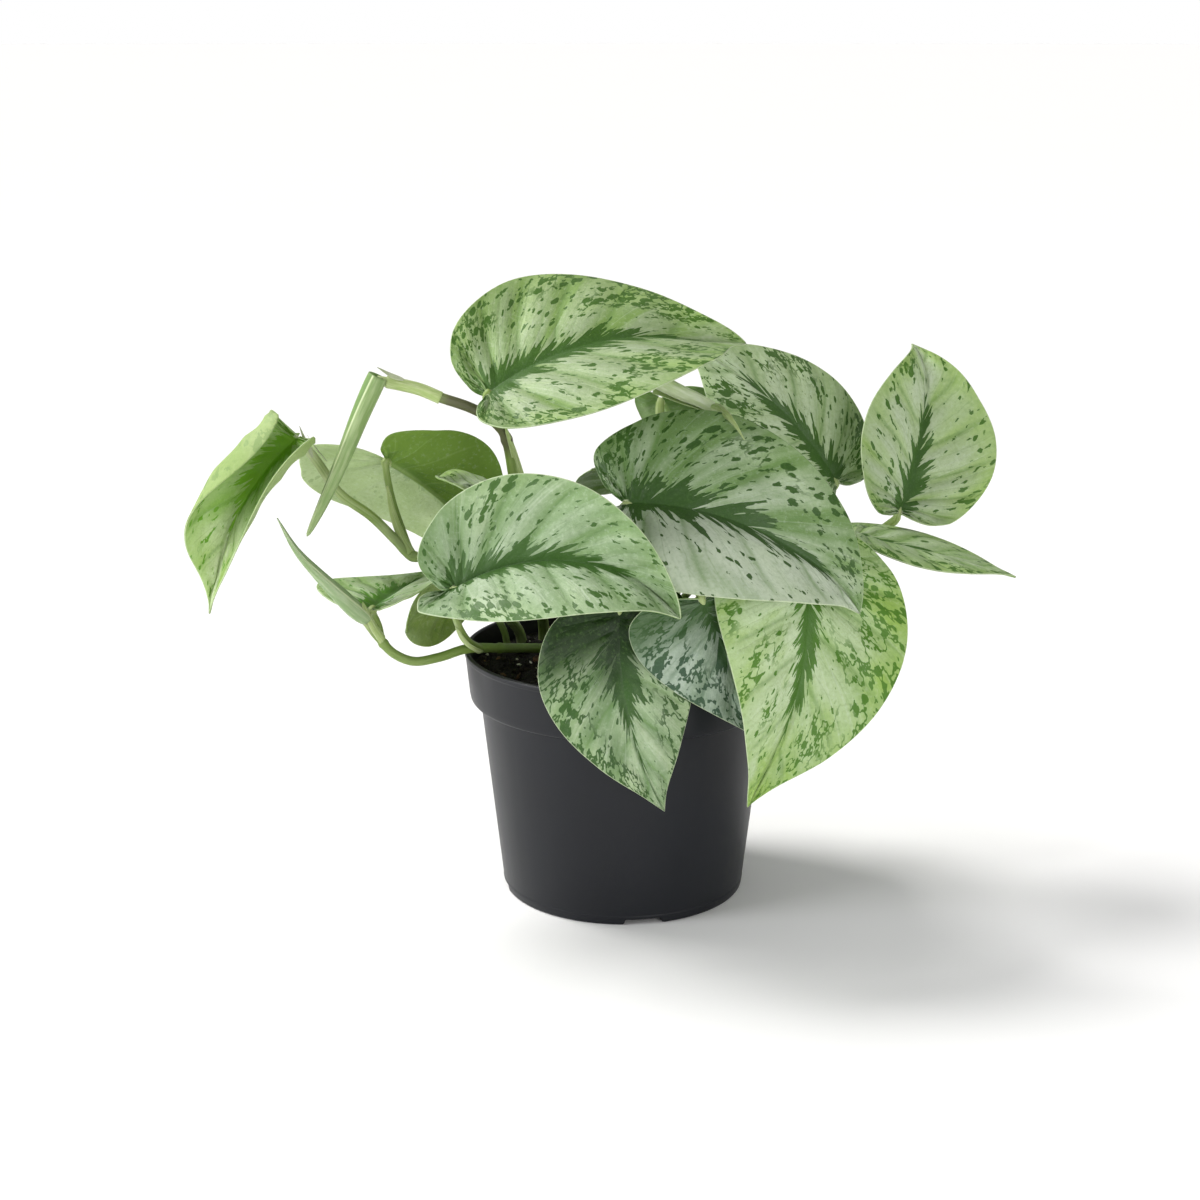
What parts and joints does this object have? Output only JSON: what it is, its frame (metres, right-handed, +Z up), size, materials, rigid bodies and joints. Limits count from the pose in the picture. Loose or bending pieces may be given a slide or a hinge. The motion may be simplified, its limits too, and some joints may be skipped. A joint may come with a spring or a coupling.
{
  "type": "satin pothos in a nursery pot",
  "caption": "Potted trailing house plant: heart-shaped leaves splashed silver over green on arching stalks and vines, rooted in peat in a round dark plastic pot.",
  "frame": {"origin": "centre of the pot's underside, on the surface that it stands on", "axes": "+Z up along the pot's axis; +X towards the side leaf, across the width of the plant; the plant is seen from -Y"},
  "size_m": [0.3029, 0.1764, 0.2312],
  "materials": {
    "pot_plastic": "satin",
    "peat": "matte",
    "silver_leaf": "satin",
    "young_leaf": "satin",
    "leaf_underside": "satin",
    "green_stem": "satin",
    "rolled_leaf": "satin"
  },
  "bodies": {
    "root": {"pot": "pot_plastic", "soil": "peat", "crown_vine": "green_stem", "left_vine": "green_stem", "low_vine": "green_stem", "crown_leaf": "silver_leaf", "crown_leaf_stalk": "green_stem", "back_right_leaf": "silver_leaf", "back_right_leaf_stalk": "green_stem", "upright_leaf": "silver_leaf", "upright_leaf_stalk": "green_stem", "centre_leaf": "silver_leaf", "centre_leaf_stalk": "green_stem", "front_left_leaf": "silver_leaf", "front_left_leaf_stalk": "green_stem", "hanging_leaf": "silver_leaf", "hanging_leaf_stalk": "green_stem", "silver_leaf": "silver_leaf", "silver_leaf_stalk": "green_stem", "front_right_leaf": "young_leaf", "front_right_leaf_stalk": "green_stem", "side_leaf": "silver_leaf", "side_leaf_stalk": "green_stem", "far_left_leaf": "young_leaf", "back_left_leaf": "leaf_underside", "back_left_leaf_stalk": "green_stem", "sliver_leaf": "silver_leaf", "sliver_leaf_stalk": "green_stem", "low_left_leaf": "silver_leaf", "low_left_leaf_stalk": "green_stem", "small_leaf": "leaf_underside", "small_leaf_stalk": "green_stem", "hidden_leaf": "leaf_underside", "hidden_leaf_stalk": "green_stem", "back_top_leaf": "leaf_underside", "back_top_leaf_stalk": "green_stem", "rolled_leaf_crown": "rolled_leaf", "rolled_leaf_low": "rolled_leaf", "rolled_leaf_back": "rolled_leaf", "rolled_leaf_back_stalk": "green_stem"}
  },
  "joints": []
}
